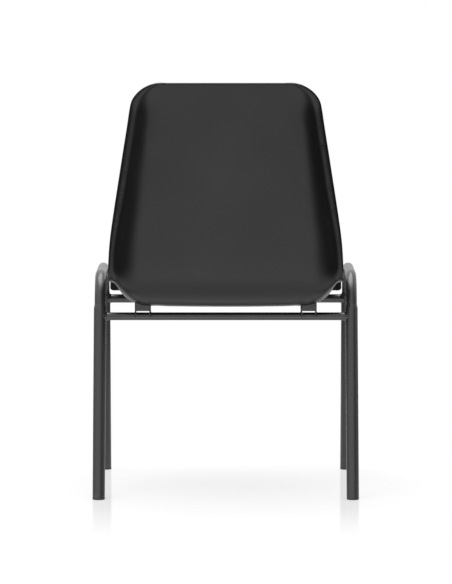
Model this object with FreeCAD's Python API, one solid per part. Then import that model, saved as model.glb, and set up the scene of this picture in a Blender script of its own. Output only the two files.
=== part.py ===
import FreeCAD, Part
import math
import os

from FreeCAD import Vector

# Stacking choir chair: a one-piece moulded shell on two bent side frames of steel tube.
# Millimetres. The chair faces -Y and +Z is up. Sizes in the side view are given as
# "forward" (from the rear foot, towards the sitter's knees) and "height" (above the floor).

# Side frames
SEAT_HALF_WIDTH = 239.0
HOOP_DIAMETER = 22.0
SHELL_TO_HOOP = 6.0           # gap between the shell's side and the tube beside it
FRAME_HALF_SPAN = SEAT_HALF_WIDTH + SHELL_TO_HOOP + HOOP_DIAMETER / 2
FOOT_SPREAD = 470.0           # rear foot to front foot, along the floor
REAR_RAKE = 17.5              # degrees from upright
FRONT_RAKE = 7.5              # degrees from upright
RUN_HEIGHT = 439.0            # axis of the level tube beside the seat
BEND_RADIUS = 62.0
HOOP_WALL = 1.5
HOOP_DROP = 57.0              # from the level tube's axis to the tops of the legs
HOOP_TOP_OF_LEG = RUN_HEIGHT - HOOP_DROP
HOOP_INSERTION = 42.0         # length of hoop inside each leg
LEG_DIAMETER = 25.0
SOCKET_CLEARANCE = 0.1        # radial, hoop in leg
LEG_NECK_LENGTH = 6.0         # tapered mouth at the top of a leg
LEG_NECK_WALL = 0.5

# Glides pressed into the feet
GLIDE_HEIGHT = 4.0
GLIDE_EDGE_ROUND = 1.2
GLIDE_STEM_LENGTH = 24.0
GLIDE_STEM_CLEARANCE = 0.2

# Cross rails
REAR_RAIL_DIAMETER = 16.0
REAR_RAIL_DROP = 79.0         # from the level tube's axis to the rail's axis
REAR_RAIL_HEIGHT = RUN_HEIGHT - REAR_RAIL_DROP
FRONT_RAIL_DIAMETER = 18.0
FRONT_RAIL_DROP = 70.0
FRONT_RAIL_HEIGHT = RUN_HEIGHT - FRONT_RAIL_DROP
RAIL_WALL = 1.5
WELD_LEG = 2.2                # size of the bead round a rail's end
WELD_TOE = 0.4                # bead's height where it runs out on the rail
BRACKET_WELD = 1.6            # size of the bead beside a bracket's ear
BRACKET_WELD_START = 15.0     # degrees round the rail from its top
BRACKET_WELD_SWEEP = 70.0

# Seat brackets, pressed from plate
BRACKET_INSET = 87.5          # from a side frame's axis to a bracket's middle
BRACKET_SPACING = 2 * (FRAME_HALF_SPAN - BRACKET_INSET)
BRACKET_WIDTH = 32.5
BRACKET_PLATE = 3.0
BRACKET_REACH = 16.0          # from the rail's axis to the web's outer face
BRACKET_TONGUE = 62.0         # from the rail's axis to the tongue's end
BRACKET_TONGUE_ROUND = 9.0
BRACKET_BEND = 2.4
BRACKET_WEB_GAP = 4.0         # between the web's lower edge and the rail
BRACKET_BLANK = 14.0          # plate above the shelf before the shell trims it
REAR_SHELF_RISE = 17.0        # from the rail's axis to the face that carries the boss
FRONT_SHELF_RISE = 33.0
REAR_SHELF_HEIGHT = REAR_RAIL_HEIGHT + REAR_SHELF_RISE
FRONT_SHELF_HEIGHT = FRONT_RAIL_HEIGHT + FRONT_SHELF_RISE
SHELL_GAP = 0.3               # between a bracket's upper edges and the shell

# Screws, washers and moulded-in inserts
SCREW_DIAMETER = 6.0
SCREW_LENGTH = 10.0
SCREW_HEAD_DIAMETER = 11.0
SCREW_HEAD_HEIGHT = 3.6
SCREW_SOCKET_ACROSS = 4.0
SCREW_SOCKET_DEPTH = 2.0
SCREW_CROWN = 2.1             # round of the head's edge
SCREW_HOLE_CLEARANCE = 0.3
SCREW_OFFSETS = (28.0, 49.0)  # from the rail's axis, along the tongue
WASHER_DIAMETER = 14.0
WASHER_THICKNESS = 1.2
INSERT_DIAMETER = 9.0
INSERT_LENGTH = 6.2           # stops short of the sitter's face
THREAD_CLEARANCE = 0.05
BOSS_CLEARANCE = 0.3          # between a boss and the bracket round it
BOSS_BLANK = 60.0             # column above the shelf before the shell trims it

# Seat shell, side view of the sitter's face from the front lip to the top of the back
SHELL_FRONT = FOOT_SPREAD     # forward position of the front lip
LIP_DEPTH = 57.0              # from the level tube's axis to the lower end of the front lip
LIP_HEIGHT = RUN_HEIGHT - LIP_DEPTH
LIP_DROP = 10.0               # straight part of the lip
FRONT_ROLL_RADIUS = 30.0
FRONT_ROLL_TURN = 94.0
THIGH_RADIUS = 1200.0
THIGH_TURN = 6.0
SEAT_FLAT = 98.0
SEAT_DISH_RADIUS = 420.0
SEAT_DISH_TURN = 14.0
HIP_RADIUS = 88.0
HIP_TURN = 77.0
BACK_LENGTH = 390.0
BACK_TURN = 4.5

# Seat shell, across
SHELL_WALL = 5.0
CROWN = 5.0                   # shallow dish across the whole width, level at the two ends
EDGE_DEPTH = 9.5              # thickness of the rolled edge along the sides
END_EDGE_DEPTH = 5.5          # and at the front lip and the top
END_REACH = 60.0              # length over which the edge and the dish build up
BACK_EDGE_ROLL = 11.0         # width of its rounded rear side, along the back
SEAT_EDGE_ROLL = 5.0          # and along the seat
EDGE_ROUND = 6.0              # width of its rounded inner side
CREST_LEAST = 5.0             # smallest radius of the edge's crest towards the sitter
ROLL_FILLET = 14.0            # radius between the roll and the dished sheet
END_ROUND = 3.0               # length over which the sheet's two ends round off
END_LEAST = 0.25              # share of the wall left at the very end
TIP_SHARE = 0.45              # most of the edge's thickness that its inner round takes
FRONT_FLARE = 6.0             # extra half width at the front lip, ahead of the legs
FRONT_FLARE_FROM = 62.0       # distance from the lip's end where the widening starts
FRONT_FLARE_TO = 30.0
FRONT_CORNER_RADIUS = 6.0
TOP_NARROWING = 56.5          # from the seat's half width to the top's
TOP_CORNER_RADIUS = 52.0
TAPER_START = 34.0            # height above the hip where the back starts to narrow
TAPER_SOFTNESS = 26.0

# Seat shell, slope in degrees and radius of the bend between its middle and its sides
LIP_SLOPE = 8.0
FRONT_SLOPE = 28.0
SEAT_SLOPE = 52.0
HIP_SLOPE = 63.0
LOW_BACK_SLOPE = 57.0
MID_BACK_SLOPE = 47.0
MID_BACK = 0.45               # share of the back's length
HIGH_BACK_SLOPE = 38.0
HIGH_BACK = 0.85
TOP_SLOPE = 8.0
LIP_BEND = 30.0
FRONT_BEND = 40.0
SEAT_BEND = 70.0
LOW_BACK_BEND = 52.0
TOP_BEND = 38.0

# Where the surface of the shell is set out: along the side view and across
STRETCH_COUNTS = (2, 6, 3, 3, 4, 8, 9)
END_SECTIONS = (0.4, 1.3, 2.6)
TOP_CORNER_SECTIONS = (1.0, 0.75, 0.5, 0.3, 0.16, 0.1)
FRONT_CORNER_SECTIONS = (0.3, 0.8)
LEAST_SPACING = 0.39
FACE_FLAT = (0.0, 0.2, 0.4, 0.6, 0.8, 0.93)
FACE_BEND = (0.25, 0.5, 0.75, 1.0)
FACE_CREST = (1.0, 0.66, 0.33, 0.0)
INNER_ROUND = (35, 62)        # degrees round the edge
OUTER_ROUND = (65, 40, 18, 0)
REAR_FILLET = (0.33, 0.66)
REAR_BEND = (1.0, 0.75, 0.5, 0.25)
REAR_FLAT = (0.93, 0.8, 0.6, 0.4, 0.2)
PATCH_COUNT_AROUND = 4
PATCH_COUNT_ALONG = 3


def place(x, forward, height):
    return Vector(x, -forward, height)


def rod(start, end, radius):
    along = end - start
    return Part.makeCylinder(radius, along.Length, start, along)


def block(x_range, forward_range, height_range):
    (x0, x1), (f0, f1), (h0, h1) = x_range, forward_range, height_range
    return Part.makeBox(x1 - x0, f1 - f0, h1 - h0, Vector(x0, -f1, h0))


def mirrored(shape):
    return shape.mirror(Vector(0, 0, 0), Vector(1, 0, 0))


def solid_of(shape):
    return max(shape.Solids, key=lambda piece: piece.Volume)


def combine(solids):
    return Part.makeCompound(solids)


# Side frames


def rear_forward(height):
    return height * math.tan(math.radians(REAR_RAKE))


def front_forward(height):
    return FOOT_SPREAD - height * math.tan(math.radians(FRONT_RAKE))


def rear_axis(height):
    return place(FRAME_HALF_SPAN, rear_forward(height), height)


def front_axis(height):
    return place(FRAME_HALF_SPAN, front_forward(height), height)


def bend(before, corner, after, radius):
    """Tangent points and midpoint of an arc that rounds a corner."""
    back = (before - corner).normalize()
    ahead = (after - corner).normalize()
    half = back.getAngle(ahead) / 2
    bisector = (back + ahead).normalize()
    reach = radius / math.tan(half)
    middle = corner + bisector * (radius / math.sin(half) - radius)
    return corner + back * reach, middle, corner + ahead * reach


def hoop_path():
    drop = HOOP_INSERTION * math.cos(math.radians(REAR_RAKE))
    rear_end = rear_axis(HOOP_TOP_OF_LEG - drop)
    drop = HOOP_INSERTION * math.cos(math.radians(FRONT_RAKE))
    front_end = front_axis(HOOP_TOP_OF_LEG - drop)
    rear_corner = rear_axis(RUN_HEIGHT)
    front_corner = front_axis(RUN_HEIGHT)
    a, b, c = bend(rear_end, rear_corner, front_corner, BEND_RADIUS)
    d, e, f = bend(rear_corner, front_corner, front_end, BEND_RADIUS)
    edges = [
        Part.makeLine(rear_end, a),
        Part.Arc(a, b, c).toShape(),
        Part.makeLine(c, d),
        Part.Arc(d, e, f).toShape(),
        Part.makeLine(f, front_end),
    ]
    return Part.Wire(edges), rear_end, a - rear_end


def side_hoop():
    path, start, heading = hoop_path()
    radius = HOOP_DIAMETER / 2
    outer = Part.Wire(Part.makeCircle(radius, start, heading))
    inner = Part.Wire(Part.makeCircle(radius - HOOP_WALL, start, heading))
    return solid_of(path.makePipeShell([outer], True).cut(path.makePipeShell([inner], True)))


def leg_bore():
    return HOOP_DIAMETER / 2 + SOCKET_CLEARANCE


def above_floor(shape, height):
    half = FRAME_HALF_SPAN + LEG_DIAMETER
    reach = FOOT_SPREAD + LEG_DIAMETER
    slab = block((-half, half), (-LEG_DIAMETER, reach), (height, RUN_HEIGHT))
    return shape.common(slab)


def rake_to(shape, foot_forward, rake):
    shape.rotate(Vector(0, 0, 0), Vector(1, 0, 0), rake)
    shape.translate(place(FRAME_HALF_SPAN, foot_forward, 0))
    return shape


def turned(profile):
    """Solid of revolution about Z from (radius, height) points."""
    points = [Vector(r, 0, z) for r, z in profile]
    face = Part.Face(Part.makePolygon(points + [points[0]]))
    return face.revolve(Vector(0, 0, 0), Vector(0, 0, 1), 360)


def leg(foot_forward, rake):
    radius = LEG_DIAMETER / 2
    top = HOOP_TOP_OF_LEG / math.cos(math.radians(rake))
    profile = [
        (leg_bore(), -LEG_DIAMETER),
        (radius, -LEG_DIAMETER),
        (radius, top - LEG_NECK_LENGTH),
        (leg_bore() + LEG_NECK_WALL, top),
        (leg_bore(), top),
    ]
    tube = rake_to(turned(profile), foot_forward, rake)
    return solid_of(above_floor(tube, GLIDE_HEIGHT))


def glide(foot_forward, rake):
    pad = Part.makeCylinder(LEG_DIAMETER / 2, 2 * LEG_DIAMETER, Vector(0, 0, -LEG_DIAMETER))
    pad = above_floor(rake_to(pad, foot_forward, rake), 0)
    tall = RUN_HEIGHT - GLIDE_HEIGHT
    lid = Part.makeBox(4 * LEG_DIAMETER, 4 * LEG_DIAMETER, tall)
    lid.translate(place(FRAME_HALF_SPAN - 2 * LEG_DIAMETER, foot_forward + 2 * LEG_DIAMETER, GLIDE_HEIGHT))
    pad = solid_of(pad.cut(lid))
    sole = [edge for edge in pad.Edges if abs(edge.BoundBox.ZMax) < 0.01]
    pad = pad.makeFillet(GLIDE_EDGE_ROUND, sole)
    stem_radius = leg_bore() - GLIDE_STEM_CLEARANCE
    stem = Part.makeCylinder(stem_radius, GLIDE_STEM_LENGTH + LEG_DIAMETER, Vector(0, 0, -LEG_DIAMETER))
    stem = above_floor(rake_to(stem, foot_forward, rake), GLIDE_HEIGHT / 2)
    return solid_of(pad.fuse(stem))


# Cross rails and their weld beads


def rail(radius, forward, height):
    left = place(-FRAME_HALF_SPAN, forward, height)
    right = place(FRAME_HALF_SPAN, forward, height)
    tube = rod(left, right, radius).cut(rod(left, right, radius - RAIL_WALL))
    return solid_of(tube.cut(leg_rods(forward)))


def leg_rods(forward):
    """Both legs of the pair that carries a rail, as solid rods."""
    axis = rear_axis if forward < FOOT_SPREAD / 2 else front_axis
    one = rod(axis(0), axis(RUN_HEIGHT), LEG_DIAMETER / 2)
    return combine([one, mirrored(one)])


def rail_end_weld(radius, forward, height):
    leg_radius = LEG_DIAMETER / 2
    toe = FRAME_HALF_SPAN - leg_radius - WELD_LEG
    heel = FRAME_HALF_SPAN - leg_radius / 2
    slope = (WELD_LEG - WELD_TOE) / (WELD_LEG + leg_radius - math.sqrt(leg_radius ** 2 - radius ** 2))
    wide = radius + WELD_TOE + slope * (heel - toe)
    start = place(toe, forward, height)
    cone = Part.makeCone(radius + WELD_TOE, wide, heel - toe, start, Vector(1, 0, 0))
    core = rod(place(toe, forward, height), place(heel, forward, height), radius)
    return solid_of(cone.cut(core).cut(leg_rods(forward)))


def ear_welds(radius, forward, height, ahead):
    """Beads beside the two ears of the bracket on the +X side, on the tongue's side."""
    middle = BRACKET_SPACING / 2
    beads = []
    for side in (-1, 1):
        root = middle + side * BRACKET_WIDTH / 2
        corner = place(root, forward, height + radius)
        out = place(root + side * BRACKET_WELD, forward, height + radius)
        up = place(root, forward, height + radius + BRACKET_WELD)
        face = Part.Face(Part.makePolygon([corner, out, up, corner]))
        axis_point = place(root, forward, height)
        face.rotate(axis_point, Vector(1, 0, 0), ahead * BRACKET_WELD_START)
        beads.append(face.revolve(axis_point, Vector(1, 0, 0), ahead * BRACKET_WELD_SWEEP))
    return beads


def rail_welds(radius, forward, height, ahead):
    beads = [rail_end_weld(radius, forward, height)] + ear_welds(radius, forward, height, ahead)
    return combine(beads + [mirrored(bead) for bead in beads])


# Seat shell


def profile_segments():
    """(length, turn) of each stretch of the side view; a positive turn is to the left."""

    def arc(radius, turn):
        return radius * math.radians(abs(turn)), turn

    return [
        (LIP_DROP, 0.0),
        arc(FRONT_ROLL_RADIUS, FRONT_ROLL_TURN),
        arc(THIGH_RADIUS, THIGH_TURN),
        (SEAT_FLAT, 0.0),
        arc(SEAT_DISH_RADIUS, -SEAT_DISH_TURN),
        arc(HIP_RADIUS, -HIP_TURN),
        (BACK_LENGTH, BACK_TURN),
    ]


def profile_at(distance):
    """(forward, height, heading) on the side view; the heading is in radians."""
    forward, height, heading = SHELL_FRONT, LIP_HEIGHT, math.pi / 2
    for length, turn in profile_segments():
        step = min(distance, length)
        swing = math.radians(turn) * step / length
        chord = step if swing == 0 else step * math.sin(swing / 2) / (swing / 2)
        forward += chord * math.cos(heading + swing / 2)
        height += chord * math.sin(heading + swing / 2)
        heading += swing
        distance -= step
        if distance <= 0:
            break
    return forward, height, heading


def segment_ends():
    ends, total = [], 0.0
    for length, _ in profile_segments():
        total += length
        ends.append(total)
    return ends


def blend(keys, distance):
    """Smooth value through (distance, value) keys, level at the first and the last."""
    keys = [(keys[0][0] - 1, keys[0][1])] + keys + [(keys[-1][0] + 1, keys[-1][1])]
    distance = min(max(distance, keys[1][0]), keys[-2][0])
    slopes = [0.0]
    for (d0, v0), (d1, v1), (d2, v2) in zip(keys, keys[1:], keys[2:]):
        before, after = (v1 - v0) / (d1 - d0), (v2 - v1) / (d2 - d1)
        slopes.append(2 * before * after / (before + after) if before * after > 0 else 0.0)
    slopes.append(0.0)
    for k in range(1, len(keys) - 2):
        (d0, v0), (d1, v1) = keys[k], keys[k + 1]
        if distance <= d1:
            t, span = (distance - d0) / (d1 - d0), d1 - d0
            rise = (v1 - v0) * t * t * (3 - 2 * t)
            return v0 + rise + span * t * (1 - t) * (slopes[k] * (1 - t) - slopes[k + 1] * t)
    return keys[-1][1]


def corner_inset(distance, radius):
    if distance >= radius:
        return 0.0
    return radius - math.sqrt(radius ** 2 - (radius - distance) ** 2)


def softened(distance):
    """Near zero well below 0 and near the distance itself well above it."""
    return TAPER_SOFTNESS * math.log1p(math.exp(distance / TAPER_SOFTNESS))


def half_width(distance):
    ends = segment_ends()
    total = ends[-1]
    start = ends[5] + TAPER_START
    fall = softened(distance - start) / softened(total - start)
    width = SEAT_HALF_WIDTH - TOP_NARROWING * fall
    width += blend([(FRONT_FLARE_TO, FRONT_FLARE), (FRONT_FLARE_FROM, 0.0)], distance)
    width -= corner_inset(total - distance, TOP_CORNER_RADIUS)
    return width - corner_inset(distance, FRONT_CORNER_RADIUS)


def bend_angle(distance):
    """Steepest slope of the dished sheet across the chair."""
    ends = segment_ends()
    back = ends[5]
    degrees = blend([
        (0.0, LIP_SLOPE),
        (ends[1], FRONT_SLOPE),
        (ends[2] + SEAT_FLAT / 2, SEAT_SLOPE),
        (ends[4], HIP_SLOPE),
        (back, LOW_BACK_SLOPE),
        (back + BACK_LENGTH * MID_BACK, MID_BACK_SLOPE),
        (back + BACK_LENGTH * HIGH_BACK, HIGH_BACK_SLOPE),
        (ends[-1], TOP_SLOPE),
    ], distance)
    return math.radians(degrees)


def bend_radius(distance):
    """Radius of the sheet's rear face where it bends up to the edge."""
    ends = segment_ends()
    return blend([
        (0.0, LIP_BEND),
        (ends[1], FRONT_BEND),
        (ends[2] + SEAT_FLAT / 2, SEAT_BEND),
        (ends[4], SEAT_BEND),
        (ends[5], LOW_BACK_BEND),
        (ends[-1], TOP_BEND),
    ], distance)


def away_from_ends(distance):
    """0 at the lip and at the top of the back, 1 between them."""
    total = segment_ends()[-1]
    return blend([(0.0, 0.0), (END_REACH, 1.0), (total - END_REACH, 1.0), (total, 0.0)], distance)


def edge_roll(distance):
    """Width of the edge's rounded rear side."""
    back = segment_ends()[5]
    return blend([(back, SEAT_EDGE_ROLL), (back + BACK_LENGTH * MID_BACK, BACK_EDGE_ROLL)], distance)


def crest_radius(angle, reach, depth):
    """Radius that keeps the sheet's thickness up to the edge; reach is crest to ridge."""
    spare = SHELL_WALL + reach * math.sin(angle) - depth * math.cos(angle)
    return max(CREST_LEAST, ROLL_FILLET + spare / (1 - math.cos(angle)))


def end_inset(distance):
    """How far each face moves in near the two ends, where the sheet rounds off."""
    gap = min(distance, segment_ends()[-1] - distance)
    if gap >= END_ROUND:
        return 0.0
    left = max(END_LEAST, math.sqrt(1 - (1 - gap / END_ROUND) ** 2))
    return (1 - left) * SHELL_WALL / 2


def arc_points(shares, angle, radius, centre_x, level, side):
    """Points of an arc that leaves a level line; side is 1 to curve up and -1 down."""
    points = []
    for share in shares:
        x = centre_x + side * radius * math.sin(share * angle)
        points.append((x, level + side * radius * (1 - math.cos(share * angle))))
    return points


def half_section(distance):
    """(x, z) of half the closed section: sitter's face outwards, edge, rear face back in."""
    width = half_width(distance)
    angle = bend_angle(distance)
    radius = bend_radius(distance)
    fullness = away_from_ends(distance)
    depth = END_EDGE_DEPTH + (EDGE_DEPTH - END_EDGE_DEPTH) * fullness
    inset = end_inset(distance)
    roll = edge_roll(distance)
    lip = (radius + ROLL_FILLET) * (1 - math.cos(angle)) - SHELL_WALL
    crest = lip + depth
    tip = crest - min(EDGE_ROUND, TIP_SHARE * depth)
    ridge = width - roll
    start = ridge - (radius + ROLL_FILLET) * math.sin(angle)

    face = [(start * share, 0.0) for share in FACE_FLAT]
    face += arc_points(FACE_BEND, angle, radius - SHELL_WALL, start, 0.0, 1)
    rounding = crest_radius(angle, roll - EDGE_ROUND, depth)
    face += arc_points(FACE_CREST, angle, rounding, width - EDGE_ROUND, crest, -1)
    edge = []
    for degrees in INNER_ROUND:
        along, up = math.sin(math.radians(degrees)), math.cos(math.radians(degrees))
        edge.append((width - EDGE_ROUND * (1 - along), tip + (crest - tip) * up))
    edge.append((width, tip))
    for degrees in OUTER_ROUND:
        along, down = math.sin(math.radians(degrees)), math.cos(math.radians(degrees))
        edge.append((width - roll * (1 - along), tip - (tip - lip) * down))
    rear = arc_points(REAR_FILLET, angle, ROLL_FILLET, ridge, lip, -1)
    rear += arc_points(REAR_BEND, angle, radius, start, -SHELL_WALL, 1)
    rear += [(start * share, -SHELL_WALL) for share in REAR_FLAT]

    points = [(x, z - inset) for x, z in face] + edge + [(x, z + inset) for x, z in rear]
    return [(x, z + CROWN * fullness * (x / width) ** 2) for x, z in points]


def section_points(distance):
    forward, height, heading = profile_at(distance)
    half = half_section(distance)
    ring = half + [(-x, z) for x, z in reversed(half[1:])]
    towards_sitter = (math.sin(heading), -math.cos(heading))
    points = []
    for x, z in ring:
        points.append(place(x, forward + z * towards_sitter[0], height + z * towards_sitter[1]))
    return points


def stations():
    """Distances of the sections along the side view, closer where the sheet bends."""
    ends = segment_ends()
    total = ends[-1]
    marks = list(END_SECTIONS) + [total - mark for mark in END_SECTIONS]
    start = 0.0
    for end, count in zip(ends, STRETCH_COUNTS):
        marks += [start + (end - start) * (k + 1) / count for k in range(count)]
        start = end
    marks += [total - TOP_CORNER_RADIUS * share for share in TOP_CORNER_SECTIONS]
    marks += [FRONT_CORNER_RADIUS * share for share in FRONT_CORNER_SECTIONS]
    kept = [0.0]
    for mark in sorted(marks):
        if mark - kept[-1] > LEAST_SPACING:
            kept.append(mark)
    return kept


def smooth_curve(points, parameters, closed):
    curve = Part.BSplineCurve()
    curve.interpolate(Points=points, Parameters=parameters, PeriodicFlag=closed)
    return curve


def skin_through(rings, distances):
    """Surface through rings of points: closed one way, open the other."""
    count = len(rings[0])
    around = [0.0]
    for k in range(count):
        steps = [ring[k].distanceToPoint(ring[(k + 1) % count]) for ring in rings]
        around.append(around[-1] + sum(steps) / len(steps))
    curves = [smooth_curve(ring, around, True) for ring in rings]
    columns = list(zip(*[curve.getPoles() for curve in curves]))
    rows = [smooth_curve(list(column), distances, False) for column in columns]
    surface = Part.BSplineSurface()
    first, other = curves[0], rows[0]
    surface.buildFromPolesMultsKnots(
        [row.getPoles() for row in rows],
        first.getMultiplicities(),
        other.getMultiplicities(),
        first.getKnots(),
        other.getKnots(),
        True,
        False,
        first.Degree,
        other.Degree,
    )
    return surface


def steps_between(start, end, count):
    """Pairs of neighbouring values that divide a range evenly."""
    marks = [start + (end - start) * k / count for k in range(count + 1)]
    return list(zip(marks, marks[1:]))


def plain_shell():
    distances = stations()
    surface = skin_through([section_points(d) for d in distances], distances)
    first, last, lip, top = surface.bounds()
    around = steps_between(first, last, PATCH_COUNT_AROUND)
    faces = []
    for side in around:
        for stretch in steps_between(lip, top, PATCH_COUNT_ALONG):
            patch = surface.copy()
            patch.segment(*side, *stretch)
            faces.append(patch.toShape())
    for end in (lip, top):
        rims = []
        for side in around:
            rim = surface.vIso(end)
            rim.segment(*side)
            rims.append(rim.toShape())
        faces.append(Part.Face(Part.Wire(rims)))
    skin = Part.Shell(faces)
    skin.sewShape()
    body = Part.Solid(skin)
    if body.Volume < 0:
        body.reverse()
    return body


# Seat brackets, bosses and fasteners


def bracket_ranges(forward, ahead):
    """Forward ranges of the web, ears and tongue; ahead is 1 or -1 along the tongue."""

    def ordered(a, b):
        return min(a, b), max(a, b)

    web = ordered(forward - ahead * BRACKET_REACH, forward - ahead * (BRACKET_REACH - BRACKET_PLATE))
    ears = ordered(forward - ahead * BRACKET_REACH, forward + ahead * BRACKET_REACH)
    inside = ordered(forward - ahead * (BRACKET_REACH - BRACKET_PLATE), forward + ahead * 2 * BRACKET_REACH)
    tongue = ordered(forward - ahead * BRACKET_REACH, forward + ahead * BRACKET_TONGUE)
    return web, ears, inside, tongue


def bracket(radius, forward, height, shelf, ahead, shell):
    middle = BRACKET_SPACING / 2
    outside = (middle - BRACKET_WIDTH / 2, middle + BRACKET_WIDTH / 2)
    inside = (outside[0] + BRACKET_PLATE, outside[1] - BRACKET_PLATE)
    web, ears, room, tongue = bracket_ranges(forward, ahead)
    top = shelf + BRACKET_BLANK
    box = block(outside, ears, (height, top))
    corner_y = -web[0] if ahead > 0 else -web[1]
    upright = [e for e in box.Edges if e.BoundBox.ZLength > 1 and abs(e.BoundBox.YMin - corner_y) < 0.1]
    box = box.makeFillet(BRACKET_BEND, upright)
    below = (height, shelf - BRACKET_PLATE)
    above = (shelf, top)
    body = box.cut(block(inside, room, below)).cut(block(inside, room, above))
    body = body.cut(block(outside, web, (height, height + radius + BRACKET_WEB_GAP)).common(
        block(inside, web, (height, top))))
    plate = block(inside, tongue, (shelf - BRACKET_PLATE, shelf))
    tip_y = -tongue[1] if ahead > 0 else -tongue[0]
    tips = [e for e in plate.Edges if e.BoundBox.ZLength > 1 and abs(e.BoundBox.YMin - tip_y) < 0.1]
    plate = plate.makeFillet(BRACKET_TONGUE_ROUND, tips)
    body = body.fuse(plate)
    along = Vector(1, 0, 0)
    start = place(outside[0] - 1, forward, height)
    body = body.cut(Part.makeCylinder(radius, BRACKET_WIDTH + 2, start, along))
    for offset in SCREW_OFFSETS:
        spot = place(middle, forward + ahead * offset, shelf - 2 * BRACKET_PLATE)
        body = body.cut(Part.makeCylinder(SCREW_DIAMETER / 2 + SCREW_HOLE_CLEARANCE, 3 * BRACKET_PLATE, spot))
    clear = shell.copy()
    clear.translate(Vector(0, 0, -SHELL_GAP))
    return lowest(body.cut(clear)).removeSplitter()


def lowest(shape):
    return min(shape.Solids, key=lambda piece: piece.BoundBox.ZMin)


def boss(forward, shelf, ahead, shell):
    middle = BRACKET_SPACING / 2
    half = BRACKET_WIDTH / 2 - BRACKET_PLATE - BOSS_CLEARANCE
    near = forward - ahead * (BRACKET_REACH - BRACKET_PLATE - BOSS_CLEARANCE)
    far = forward + ahead * (BRACKET_TONGUE - BRACKET_TONGUE_ROUND / 2)
    wide = (middle - half, middle + half)
    deep = (min(near, far), max(near, far))
    column = block(wide, deep, (shelf, shelf + BOSS_BLANK))
    return lowest(column.cut(shell))


def at_screws(forward, shelf, ahead, make):
    pieces = []
    for offset in SCREW_OFFSETS:
        piece = make()
        piece.translate(place(BRACKET_SPACING / 2, forward + ahead * offset, shelf))
        pieces += [piece, mirrored(piece)]
    return pieces


def insert():
    sleeve = Part.makeCylinder(INSERT_DIAMETER / 2, INSERT_LENGTH)
    return sleeve.cut(Part.makeCylinder(SCREW_DIAMETER / 2 + THREAD_CLEARANCE, INSERT_LENGTH))


def insert_pocket():
    return Part.makeCylinder(INSERT_DIAMETER / 2, INSERT_LENGTH)


def washer():
    under = Vector(0, 0, -BRACKET_PLATE - WASHER_THICKNESS)
    ring = Part.makeCylinder(WASHER_DIAMETER / 2, WASHER_THICKNESS, under)
    hole = Part.makeCylinder(SCREW_DIAMETER / 2 + SCREW_HOLE_CLEARANCE, WASHER_THICKNESS, under)
    return ring.cut(hole)


def screw():
    seat = -BRACKET_PLATE - WASHER_THICKNESS
    base = seat - SCREW_HEAD_HEIGHT
    shank = Part.makeCylinder(SCREW_DIAMETER / 2, SCREW_LENGTH, Vector(0, 0, seat))
    head = Part.makeCylinder(SCREW_HEAD_DIAMETER / 2, SCREW_HEAD_HEIGHT, Vector(0, 0, base))
    crown = [e for e in head.Edges if e.BoundBox.ZMax < base + 0.01]
    head = head.makeFillet(SCREW_CROWN, crown)
    corner = SCREW_SOCKET_ACROSS / math.sqrt(3)
    turns = [k * math.pi / 3 for k in range(6)]
    hexagon = [Vector(corner * math.cos(turn), corner * math.sin(turn), base) for turn in turns]
    socket = Part.Face(Part.makePolygon(hexagon + [hexagon[0]])).extrude(Vector(0, 0, SCREW_SOCKET_DEPTH))
    return head.fuse(shank).cut(socket).removeSplitter()


def build():
    rear = rear_forward(REAR_RAIL_HEIGHT)
    front = front_forward(FRONT_RAIL_HEIGHT)
    rear_radius = REAR_RAIL_DIAMETER / 2
    front_radius = FRONT_RAIL_DIAMETER / 2
    sheet = plain_shell()

    bosses = [boss(rear, REAR_SHELF_HEIGHT, 1, sheet), boss(front, FRONT_SHELF_HEIGHT, -1, sheet)]
    seat = sheet.fuse(bosses + [mirrored(piece) for piece in bosses])
    pockets = at_screws(rear, REAR_SHELF_HEIGHT, 1, insert_pocket)
    pockets += at_screws(front, FRONT_SHELF_HEIGHT, -1, insert_pocket)
    seat = solid_of(seat.cut(pockets))

    nodes = {"seat_shell": seat}
    sided = {
        "side_hoop": side_hoop(),
        "rear_leg": leg(0, REAR_RAKE),
        "front_leg": leg(FOOT_SPREAD, -FRONT_RAKE),
        "rear_glide": glide(0, REAR_RAKE),
        "front_glide": glide(FOOT_SPREAD, -FRONT_RAKE),
        "rear_bracket": bracket(rear_radius, rear, REAR_RAIL_HEIGHT, REAR_SHELF_HEIGHT, 1, sheet),
        "front_bracket": bracket(front_radius, front, FRONT_RAIL_HEIGHT, FRONT_SHELF_HEIGHT, -1, sheet),
    }
    for name, piece in sided.items():
        nodes[name + "_left"] = piece
        nodes[name + "_right"] = mirrored(piece)
    nodes["rear_rail"] = rail(rear_radius, rear, REAR_RAIL_HEIGHT)
    nodes["front_rail"] = rail(front_radius, front, FRONT_RAIL_HEIGHT)
    nodes["rear_rail_welds"] = rail_welds(rear_radius, rear, REAR_RAIL_HEIGHT, 1)
    nodes["front_rail_welds"] = rail_welds(front_radius, front, FRONT_RAIL_HEIGHT, -1)
    rows = [("rear", rear, REAR_SHELF_HEIGHT, 1), ("front", front, FRONT_SHELF_HEIGHT, -1)]
    for name, forward, shelf, ahead in rows:
        nodes[name + "_screws"] = combine(at_screws(forward, shelf, ahead, screw))
        nodes[name + "_washers"] = combine(at_screws(forward, shelf, ahead, washer))
        nodes[name + "_inserts"] = combine(at_screws(forward, shelf, ahead, insert))
    return nodes


def centre_on_floor(nodes):
    """Moves the chair so that the middle of its outline is over the origin."""
    box = Part.makeCompound(list(nodes.values())).optimalBoundingBox(False, False)
    for shape in nodes.values():
        shape.translate(Vector(0, -(box.YMin + box.YMax) / 2, 0))
    return box


def main():
    os.makedirs("parts", exist_ok=True)
    nodes = build()
    box = centre_on_floor(nodes)
    for name, shape in nodes.items():
        shape.exportStep("parts/" + name + ".step")
        print(name, len(shape.Solids), shape.isValid(), round(shape.Volume, 1))
    print("width", box.XLength, "depth", box.YLength, "height", box.ZLength)


main()
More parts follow.
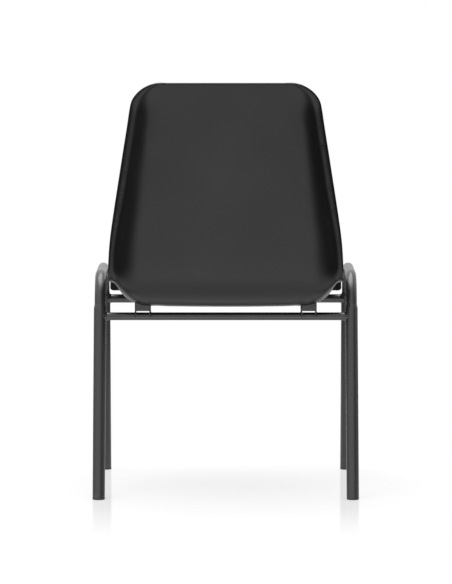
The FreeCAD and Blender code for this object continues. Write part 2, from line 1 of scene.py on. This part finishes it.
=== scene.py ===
import bpy
import math
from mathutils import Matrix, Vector

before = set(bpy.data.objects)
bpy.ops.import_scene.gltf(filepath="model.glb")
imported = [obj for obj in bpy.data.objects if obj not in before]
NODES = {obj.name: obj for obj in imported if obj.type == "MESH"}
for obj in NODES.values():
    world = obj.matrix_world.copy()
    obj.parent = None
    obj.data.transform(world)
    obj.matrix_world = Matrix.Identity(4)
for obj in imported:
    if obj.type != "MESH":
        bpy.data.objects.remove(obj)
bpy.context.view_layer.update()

# Choir chair: looks, light and camera. Metres, in the row's frame: the sitter faces -Y.

# Camera, behind the chair and slightly above it
LENS_MM = 250.9
SENSOR_MM = 36.0
CAMERA_SIDE = -0.0005
CAMERA_BACK = 8.350
CAMERA_HEIGHT = 1.131
CAMERA_PITCH = 5.0            # degrees below level
CAMERA_REACH = 60.0           # far end of what it sees

# Studio
FLOOR_SIZE = 16.0
FLOOR_BRIGHT_HALF = 0.35      # lit strip of floor that the gloss shows at full strength
FLOOR_DARK_HALF = 1.15        # beyond this the unlit floor is dark in the gloss
FLOOR_GLOSS = 1.5             # brightness of the lit strip in the gloss
FLOOR_SHADED = 0.55           # share of it left under the chair
FLOOR_SHADE_NEAR = 0.25       # as far as this from the chair's middle
FLOOR_SHADE_FAR = 0.9         # beyond this the strip is at its full brightness
FLOOR_NEAR = 0.42             # round the chair the floor keeps its shadow and reflection
FLOOR_FAR = 0.75              # out here it is the plain white backdrop
FLOOR_LIFT = 0.6              # share of the backdrop's white that the eye sees near the chair
FLOOR_ROUGHNESS = 0.1
PAPER_CLOUDS = 3.0            # noise scale, per metre
UNLIT = 0.05                  # brightness of the unlit studio in the gloss
FILL_STRENGTH = 0.5           # of the world's light on matt surfaces
WHITE = (1.0, 1.0, 1.0, 1.0)

# Where the world turns dark in the gloss: parts of a direction, from lit to dark
DARK_CAMERA_SIDE = (-0.05, 0.35)
DARK_RIGHT = (-0.25, -0.75)
DARK_LOW = (0.30, 0.02)
DARK_NOT_AHEAD = (-0.8, -0.4)

# Soft boxes: place, aim, size, watts and whether the gloss shows them
KEY_LAMP = ((2.6, 3.4, 3.0), (0.0, 0.0, 0.4), (2.6, 2.6), 70.0, False)
TOP_LAMP = ((0.2, -0.4, 3.4), (0.0, 0.0, 0.3), (3.0, 3.0), 110.0, True)

# Colours of the surfaces, as linear red, green and blue
SHELL_DARK = (0.0035, 0.0035, 0.0037)
SHELL_LIGHT = (0.0050, 0.0050, 0.0052)
SHELL_RUBBED = (0.010, 0.010, 0.010)
COAT_RUBBED = (0.10, 0.10, 0.10)
GLIDE_DARK = (0.03, 0.03, 0.03)
GLIDE_WORN = (0.11, 0.108, 0.105)
PAPER_DARK = (0.90, 0.90, 0.90)
PAPER_LIGHT = (0.92, 0.92, 0.92)

# Powder coats: darkest colour, specular level and lowest roughness
SATIN = {"dark": (0.021, 0.021, 0.0215), "gloss": 0.78, "smooth": 0.29}
# The glossy coat's darker colour is painted shade: it goes on the rails and welds under the seat,
# where the seat's shade falls.
GLOSSY_PAINTED_SHADE = {"dark": (0.009, 0.009, 0.0093), "gloss": 1.0, "smooth": 0.24}
COAT_LIGHTENING = 1.3         # from the darkest to the lightest patch, as a factor
COAT_ROUGHENING = 0.08        # from the smoothest to the roughest patch
SCUFF_HEIGHT = 0.11           # scuffs on the legs reach this far up
SOLE_WEAR = 0.0025            # wear on a glide reaches this far up

# Bare metals: clean and dull colour, and how far the marks go below and above the roughness
ZINC = {"tone": (0.55, 0.55, 0.56), "dull": (0.40, 0.40, 0.42)}
BRASS = {"tone": (0.72, 0.52, 0.24), "dull": (0.55, 0.38, 0.18)}
METAL_POLISHED = 0.07
METAL_ROUGHENED = 0.1

# Noise scales, per metre; three of them where the marks are drawn out
SHELL_CLOUDS = 6.0
SHELL_GRAIN = 1100.0
SHELL_PITS = 420.0
COAT_PEEL = 520.0
COAT_CLOUDS = 14.0
COAT_SCRATCHES = (60.0, 60.0, 420.0)
WELD_RIPPLES = 380.0
GLIDE_SCRATCHES = 700.0
METAL_SPOTS = 260.0
SCREW_MARKS = (900.0, 900.0, 200.0)
WASHER_MARKS = (500.0, 1500.0, 500.0)
INSERT_MARKS = (900.0, 900.0, 900.0)
NOISE_RANGE = (0.3, 0.7)      # nearly all values of a noise lie in it


# Node helpers


class Graph:
    """A node tree written as calls: add returns the node, most others an output socket."""

    def __init__(self, tree):
        self.tree = tree
        tree.nodes.clear()

    def add(self, kind, links=None, values=None, **settings):
        node = self.tree.nodes.new(kind)
        for name, value in settings.items():
            setattr(node, name, value)
        for key, value in (values or {}).items():
            node.inputs[key].default_value = value
        self.feed(node, links or {})
        return node

    def feed(self, node, links):
        """Link sockets to a node's inputs, by name or by number."""
        for key, socket in links.items():
            self.tree.links.new(socket, node.inputs[key])

    def noise(self, where, scale, detail=2.0, roughness=0.5):
        node = self.add("ShaderNodeTexNoise", {"Vector": where},
                        {"Scale": scale, "Detail": detail, "Roughness": roughness})
        return node.outputs["Fac"]

    def stretched(self, where, scale):
        node = self.add("ShaderNodeMapping", {"Vector": where}, {"Scale": scale})
        return node.outputs["Vector"]

    def remap(self, value, low, high, to_low=0.0, to_high=1.0):
        node = self.add("ShaderNodeMapRange", {"Value": value}, {
            "From Min": low, "From Max": high, "To Min": to_low, "To Max": to_high,
        })
        return node.outputs["Result"]

    def math(self, operation, first, second):
        node = self.add("ShaderNodeMath", operation=operation)
        for index, value in enumerate((first, second)):
            if isinstance(value, (int, float)):
                node.inputs[index].default_value = value
            else:
                self.tree.links.new(value, node.inputs[index])
        return node.outputs[0]

    def mix(self, factor, first, second):
        node = self.add("ShaderNodeMix", {"Factor": factor}, data_type="RGBA")
        for key, colour in (("A", first), ("B", second)):
            socket = [i for i in node.inputs if i.name == key and i.type == "RGBA"][0]
            if isinstance(colour, tuple):
                socket.default_value = (*colour, 1.0)
            else:
                self.tree.links.new(colour, socket)
        return [o for o in node.outputs if o.type == "RGBA"][0]

    def blend(self, factor, first, second):
        node = self.add("ShaderNodeMixShader", {"Fac": factor, 1: first, 2: second})
        return node.outputs["Shader"]

    def distance(self, where):
        node = self.add("ShaderNodeVectorMath", {0: where}, operation="LENGTH")
        return node.outputs["Value"]

    def bump(self, height, strength, distance, normal=None):
        links = {"Height": height}
        if normal is not None:
            links["Normal"] = normal
        node = self.add("ShaderNodeBump", links, {"Strength": strength, "Distance": distance})
        return node.outputs["Normal"]

    def worn_edge(self, radius, low, high):
        """0 on flat ground, 1 on a sharp edge."""
        rounded = self.add("ShaderNodeBevel", values={"Radius": radius}, samples=6)
        plain = self.add("ShaderNodeNewGeometry")
        normals = {0: rounded.outputs["Normal"], 1: plain.outputs["Normal"]}
        dot = self.add("ShaderNodeVectorMath", normals, operation="DOT_PRODUCT")
        return self.remap(dot.outputs["Value"], high, low, 0.0, 1.0)


# Materials


def surface_of(name):
    """A new material's graph, its object coordinates and its shader."""
    material = bpy.data.materials.new(name)
    material.use_nodes = True
    graph = Graph(material.node_tree)
    where = graph.add("ShaderNodeTexCoord").outputs["Object"]
    shader = graph.add("ShaderNodeBsdfPrincipled")
    graph.add("ShaderNodeOutputMaterial", {"Surface": shader.outputs["BSDF"]})
    return material, graph, where, shader


def shell_plastic():
    """Black moulded polypropylene: fine grain, faint flow marks, polished edges."""
    material, g, where, shader = surface_of("shell_plastic")
    clouds = g.noise(where, SHELL_CLOUDS)
    grain = g.noise(where, SHELL_GRAIN, detail=1.0)
    pits = g.noise(where, SHELL_PITS, roughness=0.6)
    edge = g.worn_edge(radius=0.004, low=0.90, high=0.995)
    tone = g.mix(g.remap(clouds, 0.35, 0.65), SHELL_DARK, SHELL_LIGHT)
    tone = g.mix(g.math("MULTIPLY", edge, 0.5), tone, SHELL_RUBBED)
    rough = g.remap(clouds, *NOISE_RANGE, 0.36, 0.44)
    rough = g.math("SUBTRACT", rough, g.math("MULTIPLY", edge, 0.06))
    normal = g.bump(pits, strength=0.12, distance=0.0003)
    normal = g.bump(grain, strength=0.10, distance=0.0002, normal=normal)
    shader.inputs["Specular IOR Level"].default_value = 0.5
    g.feed(shader, {"Base Color": tone, "Roughness": rough, "Normal": normal})
    return material


def powder_coat(name, dark, gloss, smooth, ripple=0.0):
    """Black powder coat: orange peel, rubbed edges, scuffs low on the legs."""
    material, g, where, shader = surface_of(name)
    peel = g.noise(where, COAT_PEEL, detail=1.5)
    clouds = g.noise(where, COAT_CLOUDS, detail=3.0)
    height = g.add("ShaderNodeSeparateXYZ", {"Vector": where}).outputs["Z"]
    scratches = g.noise(g.stretched(where, COAT_SCRATCHES), 1.0, detail=3.0, roughness=0.7)
    low = g.remap(height, 0.0, SCUFF_HEIGHT, 1.0, 0.0)
    scuffs = g.math("MULTIPLY", low, g.remap(scratches, 0.60, 0.68, 0.0, 0.8))
    edge = g.math("MULTIPLY", g.worn_edge(radius=0.0015, low=0.80, high=0.98), 0.35)
    light = tuple(COAT_LIGHTENING * part for part in dark)
    tone = g.mix(g.remap(clouds, *NOISE_RANGE), dark, light)
    tone = g.mix(g.math("MAXIMUM", scuffs, edge), tone, COAT_RUBBED)
    rough = g.remap(clouds, *NOISE_RANGE, smooth, smooth + COAT_ROUGHENING)
    shader.inputs["Specular IOR Level"].default_value = gloss
    normal = g.bump(peel, strength=0.16, distance=0.0004)
    if ripple:
        beads = g.noise(where, WELD_RIPPLES, detail=1.0)
        normal = g.bump(beads, strength=ripple, distance=0.0008, normal=normal)
    g.feed(shader, {"Base Color": tone, "Roughness": rough, "Normal": normal})
    return material


def glide_plastic():
    """Black moulded glide, greyed and scratched at the sole."""
    material, g, where, shader = surface_of("glide_plastic")
    height = g.add("ShaderNodeSeparateXYZ", {"Vector": where}).outputs["Z"]
    scratches = g.noise(where, GLIDE_SCRATCHES, detail=4.0, roughness=0.7)
    low = g.remap(height, 0.0, SOLE_WEAR, 1.0, 0.0)
    worn = g.math("MULTIPLY", low, g.remap(scratches, 0.45, 0.6, 0.3, 1.0))
    g.feed(shader, {
        "Base Color": g.mix(worn, GLIDE_DARK, GLIDE_WORN),
        "Roughness": g.remap(scratches, *NOISE_RANGE, 0.42, 0.62),
        "Normal": g.bump(scratches, strength=0.2, distance=0.0003),
    })
    return material


def metal(name, tone, dull, rough, stretch):
    """Bare metal with fine marks drawn out along one direction."""
    material, g, where, shader = surface_of(name)
    marks = g.noise(g.stretched(where, stretch), 1.0, detail=4.0, roughness=0.65)
    spots = g.noise(where, METAL_SPOTS)
    shader.inputs["Metallic"].default_value = 1.0
    g.feed(shader, {
        "Base Color": g.mix(g.remap(spots, 0.4, 0.7), tone, dull),
        "Roughness": g.remap(marks, *NOISE_RANGE, rough - METAL_POLISHED, rough + METAL_ROUGHENED),
        "Normal": g.bump(marks, strength=0.15, distance=0.0002),
    })
    return material


def dress_nodes():
    looks = {
        "seat_shell": shell_plastic(),
        "hoop": powder_coat("frame_coat", **SATIN),
        # rails and welds get the darker coat: painted shade from the seat above them
        "rail": powder_coat("rail_coat", **GLOSSY_PAINTED_SHADE),
        "bracket": powder_coat("bracket_coat", **SATIN),
        "welds": powder_coat("weld_coat", ripple=0.5, **GLOSSY_PAINTED_SHADE),
        "glide": glide_plastic(),
        "screws": metal("screw_steel", **ZINC, rough=0.34, stretch=SCREW_MARKS),
        "washers": metal("washer_steel", **ZINC, rough=0.36, stretch=WASHER_MARKS),
        "inserts": metal("insert_brass", **BRASS, rough=0.3, stretch=INSERT_MARKS),
    }
    looks["leg"] = looks["hoop"]
    order = ("welds", "screws", "washers", "inserts", "glide", "bracket", "hoop", "leg", "rail",
             "seat_shell")
    for name, node in NODES.items():
        look = next(looks[word] for word in order if word in name)
        for holder in node.material_slots:
            holder.material = look


# Studio


def white_floor():
    """White sweep: near the chair it keeps shadow and reflection, far off it is backdrop.

    Only the strip beside the chair is lit, so gloss sees the floor darken to both sides.
    The eye sees through it from below.
    """
    bpy.ops.mesh.primitive_plane_add(size=FLOOR_SIZE)
    floor = bpy.context.object
    floor.name = "floor"
    material, g, where, shader = surface_of("floor_white")
    path = g.add("ShaderNodeLightPath").outputs
    parts = g.add("ShaderNodeSeparateXYZ", {"Vector": where}).outputs
    aside = g.math("ABSOLUTE", parts["X"], 0.0)
    away = g.distance(where)
    strip = g.remap(aside, FLOOR_BRIGHT_HALF, FLOOR_DARK_HALF, FLOOR_GLOSS, UNLIT)
    shaded = g.remap(away, FLOOR_SHADE_NEAR, FLOOR_SHADE_FAR, FLOOR_SHADED, 1.0)
    in_gloss = g.math("MULTIPLY", strip, shaded)
    g.feed(shader, {"Base Color": g.mix(g.noise(where, PAPER_CLOUDS), PAPER_DARK, PAPER_LIGHT)})
    shader.inputs["Roughness"].default_value = FLOOR_ROUGHNESS
    far = g.remap(away, FLOOR_NEAR, FLOOR_FAR, FLOOR_LIFT, 1.0)
    seen = g.math("MULTIPLY", far, path["Is Camera Ray"])
    white = g.add("ShaderNodeEmission", values={"Color": WHITE, "Strength": 1.0})
    both = g.blend(seen, shader.outputs["BSDF"], white.outputs["Emission"])
    glow = g.add("ShaderNodeEmission", {"Strength": in_gloss}, {"Color": WHITE})
    both = g.blend(path["Is Glossy Ray"], both, glow.outputs["Emission"])
    clear = g.add("ShaderNodeBsdfTransparent").outputs["BSDF"]
    underside = g.add("ShaderNodeNewGeometry").outputs["Backfacing"]
    from_below = g.math("MULTIPLY", underside, path["Is Camera Ray"])
    both = g.blend(from_below, both, clear)
    output = next(node for node in g.tree.nodes if node.type == "OUTPUT_MATERIAL")
    g.feed(output, {"Surface": both})
    floor.data.materials.append(material)


def studio_world():
    """White to the eye; gloss sees it dark to the picture's right and low down."""
    world = bpy.data.worlds.new("studio")
    world.use_nodes = True
    bpy.context.scene.world = world
    g = Graph(world.node_tree)
    path = g.add("ShaderNodeLightPath").outputs
    toward = g.add("ShaderNodeTexCoord").outputs["Generated"]
    parts = g.add("ShaderNodeSeparateXYZ", {"Vector": toward}).outputs
    camera_side = g.remap(parts["Y"], *DARK_CAMERA_SIDE)
    right = g.remap(parts["X"], *DARK_RIGHT)
    near_floor = g.remap(parts["Z"], *DARK_LOW)
    not_ahead = g.remap(parts["Y"], *DARK_NOT_AHEAD)
    low = g.math("MULTIPLY", near_floor, not_ahead)
    dark = g.math("MAXIMUM", g.math("MULTIPLY", right, camera_side), low)
    gloss = g.remap(dark, 0.0, 1.0, 1.0, UNLIT)
    backdrop = g.math("MAXIMUM", path["Is Camera Ray"], path["Is Transmission Ray"])
    fill = g.math("MULTIPLY", path["Is Diffuse Ray"], FILL_STRENGTH)
    strength = g.math("MULTIPLY", path["Is Glossy Ray"], gloss)
    strength = g.math("ADD", strength, backdrop)
    strength = g.math("ADD", strength, fill)
    back = g.add("ShaderNodeBackground", {"Strength": strength}, {"Color": WHITE})
    g.add("ShaderNodeOutputWorld", {"Surface": back.outputs["Background"]})


def softbox(name, place, target, size, power, in_gloss):
    light = bpy.data.lights.new(name, "AREA")
    light.shape = "RECTANGLE"
    light.size, light.size_y = size
    light.energy = power
    lamp = bpy.data.objects.new(name, light)
    lamp.location = place
    lamp.rotation_euler = (Vector(target) - Vector(place)).to_track_quat("-Z", "Y").to_euler()
    lamp.visible_glossy = in_gloss
    bpy.context.scene.collection.objects.link(lamp)


def studio_lamps():
    softbox("key", *KEY_LAMP)
    softbox("top", *TOP_LAMP)


# Camera


def camera():
    data = bpy.data.cameras.new("camera")
    data.lens = LENS_MM
    data.sensor_width = SENSOR_MM
    data.clip_end = CAMERA_REACH
    holder = bpy.data.objects.new("camera", data)
    holder.location = (CAMERA_SIDE, CAMERA_BACK, CAMERA_HEIGHT)
    holder.rotation_euler = (math.radians(90.0 - CAMERA_PITCH), 0.0, math.radians(180.0))
    bpy.context.scene.collection.objects.link(holder)
    bpy.context.scene.camera = holder


camera()
dress_nodes()
white_floor()
studio_world()
studio_lamps()
bpy.context.scene.view_settings.view_transform = "Standard"
